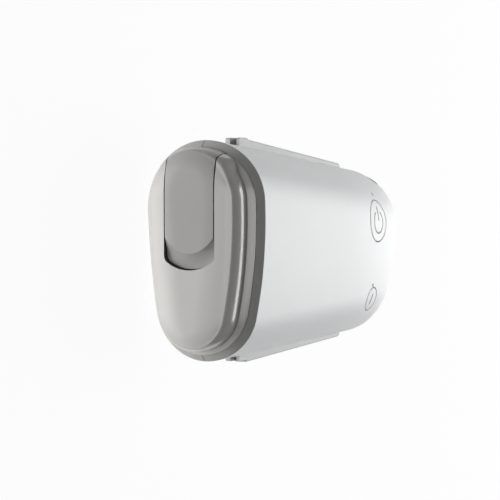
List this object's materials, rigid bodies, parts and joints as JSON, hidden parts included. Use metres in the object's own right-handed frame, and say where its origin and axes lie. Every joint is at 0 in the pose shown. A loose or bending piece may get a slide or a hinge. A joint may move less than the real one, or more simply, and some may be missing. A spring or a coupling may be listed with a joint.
{
  "type": "cpap machine",
  "caption": "Palm-size travel CPAP machine with egg-shaped white shells, a grey filter end with a hinged door, sprung power and pairing buttons, a blower inside and a round air outlet.",
  "frame": {"origin": "under the middle of the machine's bounding box, on the surface that it rests on", "axes": "+X towards the air outlet, -X the grey filter end, +Y the thick side with the door hinge and the power inlet, +Z the button face"},
  "size_m": [0.1362, 0.084, 0.052],
  "materials": {
    "white_shell": "satin white moulded plastic",
    "bezel_grey": "satin mid-grey moulded plastic",
    "cap_grey": "satin warm-grey moulded plastic",
    "door_grey": "satin warm-grey moulded plastic",
    "seal_rubber": "soft black elastomer",
    "pin_steel": "ground steel",
    "inner_plastic": "unpainted structural plastic",
    "filter_media": "non-woven white fibre",
    "rail_grey": "satin light-grey moulded plastic",
    "button_white": "satin white moulded plastic",
    "silicone": "translucent silicone",
    "circuit_board": "green solder mask",
    "green_lens": "diffusing light guide",
    "grey_lens": "diffusing light guide",
    "black_plastic": "black moulded plastic",
    "contact_metal": "plated contact",
    "outlet_grey": "satin grey moulded plastic",
    "impeller_plastic": "moulded impeller plastic",
    "magnet": "bonded magnet ring",
    "stator_iron": "laminated iron",
    "copper_wire": "enamelled copper",
    "motor_aluminium": "turned aluminium",
    "foam": "open-cell acoustic foam"
  },
  "bodies": {
    "housing": {"upper_shell": "white_shell", "lower_shell": "white_shell", "upper_bezel": "bezel_grey", "lower_bezel": "bezel_grey", "end_cap": "cap_grey", "cap_seal": "seal_rubber", "door_hinge_pin": "pin_steel", "filter_frame": "inner_plastic", "air_filter": "filter_media", "intake_gasket": "seal_rubber", "left_rail": "rail_grey", "right_rail": "rail_grey", "power_dome": "silicone", "pairing_dome": "silicone", "button_board": "circuit_board", "power_led_lens": "green_lens", "pairing_led_lens": "grey_lens", "main_board": "circuit_board", "dc_socket": "black_plastic", "dc_contact_pin": "contact_metal", "outlet_collar": "outlet_grey", "outlet_seal": "seal_rubber", "outlet_duct": "inner_plastic", "duct_coupler": "seal_rubber", "volute_lower": "inner_plastic", "volute_upper": "inner_plastic", "lower_bearing": "pin_steel", "upper_bearing": "pin_steel", "motor_stator": "stator_iron", "stator_coils": "copper_wire", "motor_base": "motor_aluminium", "blower_mounts": "silicone", "intake_duct": "inner_plastic", "acoustic_foam": "foam", "flow_sensor": "black_plastic", "foot_strips": "seal_rubber", "housing_screws": "pin_steel", "board_screws": "pin_steel"},
    "door": {"filter_door": "door_grey"},
    "power_key": {"power_button": "button_white"},
    "pairing_key": {"pairing_button": "button_white"},
    "rotor": {"impeller": "impeller_plastic", "rotor_magnet": "magnet", "rotor_bell": "pin_steel", "motor_shaft": "pin_steel"}
  },
  "joints": [
    {"name": "filter_door_hinge", "type": "hinge", "parent": "housing", "child": "door", "pos_m": [-0.06054, 0.0355, 0.0268], "axis": [0, 0, -1], "range_deg": [0, 95]},
    {"name": "power_button_press", "type": "slide", "parent": "housing", "child": "power_key", "axis": [0, 0, -1], "range_m": [0, 0.0006], "stiffness_N_per_m": 1800, "deforming": ["power_dome"]},
    {"name": "pairing_button_press", "type": "slide", "parent": "housing", "child": "pairing_key", "axis": [0, 0, -1], "range_m": [0, 0.0006], "stiffness_N_per_m": 1500, "deforming": ["pairing_dome"]},
    {"name": "rotor_spin", "type": "hinge", "parent": "housing", "child": "rotor", "pos_m": [-0.00714, 0.003, 0.0262], "axis": [0, 0, 1], "continuous": true}
  ]
}
